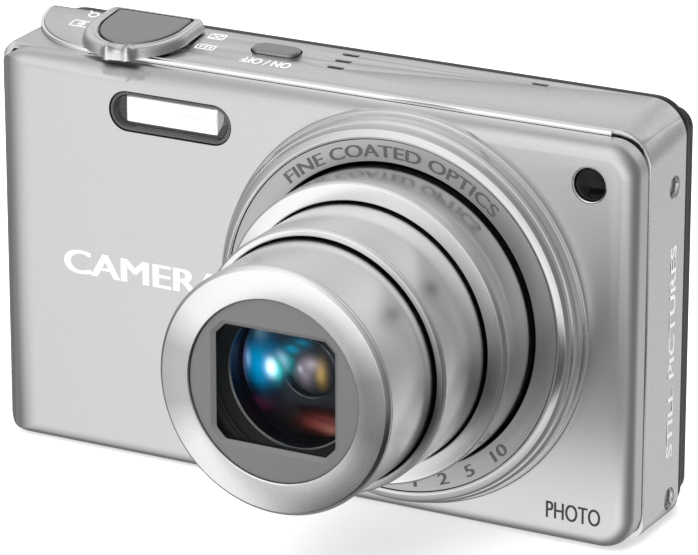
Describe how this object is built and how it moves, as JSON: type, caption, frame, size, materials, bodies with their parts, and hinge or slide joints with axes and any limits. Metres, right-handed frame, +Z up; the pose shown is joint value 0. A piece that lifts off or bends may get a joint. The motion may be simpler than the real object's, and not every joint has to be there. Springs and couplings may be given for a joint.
{
  "type": "compact digital camera",
  "caption": "Slim zoom camera with a telescoping lens, sliding lens cover leaves, zoom lever, press buttons, tilting pad and a hinged battery door.",
  "frame": {"origin": "centre of the bottom face: the body's middle across its width and half way through its depth", "axes": "+X to the right seen from the front, -Y the way the lens points, +Z up"},
  "size_m": [0.0992, 0.0575, 0.0604],
  "materials": {
    "cover_silver": "fine-grained satin",
    "band_silver": "satin",
    "polished_trim": "polished",
    "lens_silver": "turned satin",
    "ring_bright": "circular brushed",
    "rear_black": "gloss",
    "inner_black": "matt",
    "aperture_grey": "matt",
    "leaf_black": "matt",
    "optical_glass": "coated, clear",
    "clear_window": "clear, moulded",
    "lamp_dark": "gloss",
    "screen_glass": "gloss",
    "board_green": "matt",
    "cell_blue": "matt",
    "steel": "brushed",
    "gear_white": "moulded",
    "grip_black": "soft matt"
  },
  "bodies": {
    "camera_body": {"front_cover": "cover_silver", "deck_trim": "polished_trim", "top_plate": "band_silver", "side_band": "band_silver", "rear_cover": "rear_black", "thumb_rest": "grip_black", "lens_bezel": "lens_silver", "lens_ring": "lens_silver", "lens_housing": "inner_black", "battery_chamber": "inner_black", "tripod_bush": "steel", "av_socket": "steel", "case_screws": "steel", "strap_lug": "polished_trim", "shutter_cup": "inner_black", "tact_switches": "inner_black", "flash_window": "clear_window", "flash_reflector": "polished_trim", "xenon_tube": "clear_window", "flash_capacitor": "inner_black", "af_lamp_lens": "lamp_dark", "battery": "cell_blue", "memory_card": "inner_black", "main_board": "board_green", "screen_panel": "steel", "screen_window": "screen_glass", "key_board": "board_green", "speaker": "inner_black", "microphone": "steel", "hinge_pin": "steel", "zoom_motor": "steel", "focus_lens": "optical_glass", "image_sensor": "board_green"},
    "lens_stage_1": {"barrel_stage_1": "lens_silver"},
    "lens_stage_2": {"barrel_stage_2": "lens_silver", "second_group_holder": "inner_black", "second_lens": "optical_glass"},
    "lens_stage_3": {"barrel_stage_3": "lens_silver", "front_ring": "ring_bright", "aperture_plate": "aperture_grey", "front_lens": "optical_glass", "front_lens_holder": "inner_black"},
    "leaf_top_inner": {"barrier_leaf_top_inner": "leaf_black"},
    "leaf_top_outer": {"barrier_leaf_top_outer": "leaf_black"},
    "leaf_bottom_inner": {"barrier_leaf_bottom_inner": "leaf_black"},
    "leaf_bottom_outer": {"barrier_leaf_bottom_outer": "leaf_black"},
    "gear": {"reduction_gear": "gear_white"},
    "pinion": {"motor_pinion": "gear_white"},
    "lever": {"zoom_lever": "polished_trim"},
    "shutter": {"shutter_button": "band_silver"},
    "power": {"power_button": "band_silver"},
    "record": {"record_button": "rear_black"},
    "menu": {"menu_button": "rear_black"},
    "playback": {"playback_button": "rear_black"},
    "function": {"function_button": "rear_black"},
    "ok": {"ok_button": "rear_black"},
    "pad_tilt": {"pad_pivot": "inner_black"},
    "pad": {"pad_ring": "rear_black"},
    "door": {"battery_door": "band_silver"},
    "latch": {"door_latch": "rear_black"}
  },
  "joints": [
    {"name": "lens_retract", "type": "slide", "parent": "camera_body", "child": "lens_stage_1", "axis": [0, 1, 0], "range_m": [0, 0.008]},
    {"name": "stage_2_retract", "type": "slide", "parent": "lens_stage_1", "child": "lens_stage_2", "axis": [0, 1, 0], "range_m": [0, 0.01155]},
    {"name": "stage_3_retract", "type": "slide", "parent": "lens_stage_2", "child": "lens_stage_3", "axis": [0, 1, 0], "range_m": [0, 0.01215]},
    {"name": "barrier_close", "type": "slide", "parent": "lens_stage_3", "child": "leaf_top_inner", "axis": [0, 0, -1], "range_m": [0, 0.0079]},
    {"name": "top_outer_close", "type": "slide", "parent": "lens_stage_3", "child": "leaf_top_outer", "axis": [0, 0, -1], "range_m": [0, 0.00395]},
    {"name": "bottom_inner_close", "type": "slide", "parent": "lens_stage_3", "child": "leaf_bottom_inner", "axis": [0, 0, 1], "range_m": [0, 0.0079]},
    {"name": "bottom_outer_close", "type": "slide", "parent": "lens_stage_3", "child": "leaf_bottom_outer", "axis": [0, 0, 1], "range_m": [0, 0.00395]},
    {"name": "gear_turn", "type": "hinge", "parent": "camera_body", "child": "gear", "pos_m": [0.03062, -0.0075, 0.04973], "axis": [0, 1, 0], "range_deg": [0, 180]},
    {"name": "pinion_turn", "type": "hinge", "parent": "camera_body", "child": "pinion", "pos_m": [0.03452, -0.0075, 0.04803], "axis": [0, 1, 0], "range_deg": [-320, 0]},
    {"name": "zoom_lever_turn", "type": "hinge", "parent": "camera_body", "child": "lever", "pos_m": [-0.0302, -0.0008, 0.05803], "axis": [0, -0.1307, 0.9914], "range_deg": [-18, 18], "stiffness_Nm_per_rad": 0.02},
    {"name": "shutter_press", "type": "slide", "parent": "lever", "child": "shutter", "axis": [0, 0.1307, -0.9914], "range_m": [0, 0.0006], "stiffness_N_per_m": 900},
    {"name": "power_press", "type": "slide", "parent": "camera_body", "child": "power", "axis": [0, 0.1307, -0.9914], "range_m": [0, 0.0004], "stiffness_N_per_m": 900},
    {"name": "record_press", "type": "slide", "parent": "camera_body", "child": "record", "axis": [0, -1, 0], "range_m": [0, 0.0004], "stiffness_N_per_m": 900},
    {"name": "menu_press", "type": "slide", "parent": "camera_body", "child": "menu", "axis": [0, -1, 0], "range_m": [0, 0.0004], "stiffness_N_per_m": 900},
    {"name": "playback_press", "type": "slide", "parent": "camera_body", "child": "playback", "axis": [0, -1, 0], "range_m": [0, 0.0004], "stiffness_N_per_m": 900},
    {"name": "function_press", "type": "slide", "parent": "camera_body", "child": "function", "axis": [0, -1, 0], "range_m": [0, 0.0004], "stiffness_N_per_m": 900},
    {"name": "ok_press", "type": "slide", "parent": "camera_body", "child": "ok", "axis": [0, -1, 0], "range_m": [0, 0.0004], "stiffness_N_per_m": 900},
    {"name": "pad_up_down", "type": "hinge", "parent": "camera_body", "child": "pad_tilt", "pos_m": [-0.0315, 0.0086, 0.0245], "axis": [1, 0, 0], "range_deg": [-2, 2], "stiffness_Nm_per_rad": 0.1},
    {"name": "pad_left_right", "type": "hinge", "parent": "pad_tilt", "child": "pad", "pos_m": [-0.0315, 0.0086, 0.0245], "axis": [0, 0, 1], "range_deg": [-2, 2], "stiffness_Nm_per_rad": 0.1},
    {"name": "battery_door_swing", "type": "hinge", "parent": "camera_body", "child": "door", "pos_m": [-0.02865, 0.0043, 0.00075], "axis": [1, 0, 0], "range_deg": [0, 90]},
    {"name": "door_latch_slide", "type": "slide", "parent": "door", "child": "latch", "axis": [1, 0, 0], "range_m": [0, 0.0018]}
  ],
  "couplings": [
    {"joint": "stage_2_retract", "follows": "lens_retract", "ratio": 1.4438},
    {"joint": "stage_3_retract", "follows": "lens_retract", "ratio": 1.5188},
    {"joint": "gear_turn", "follows": "lens_retract", "rad_per_m": 392.31},
    {"joint": "pinion_turn", "follows": "lens_retract", "rad_per_m": -697.43},
    {"joint": "top_outer_close", "follows": "barrier_close", "ratio": 0.5},
    {"joint": "bottom_inner_close", "follows": "barrier_close", "ratio": 1},
    {"joint": "bottom_outer_close", "follows": "barrier_close", "ratio": 0.5}
  ]
}
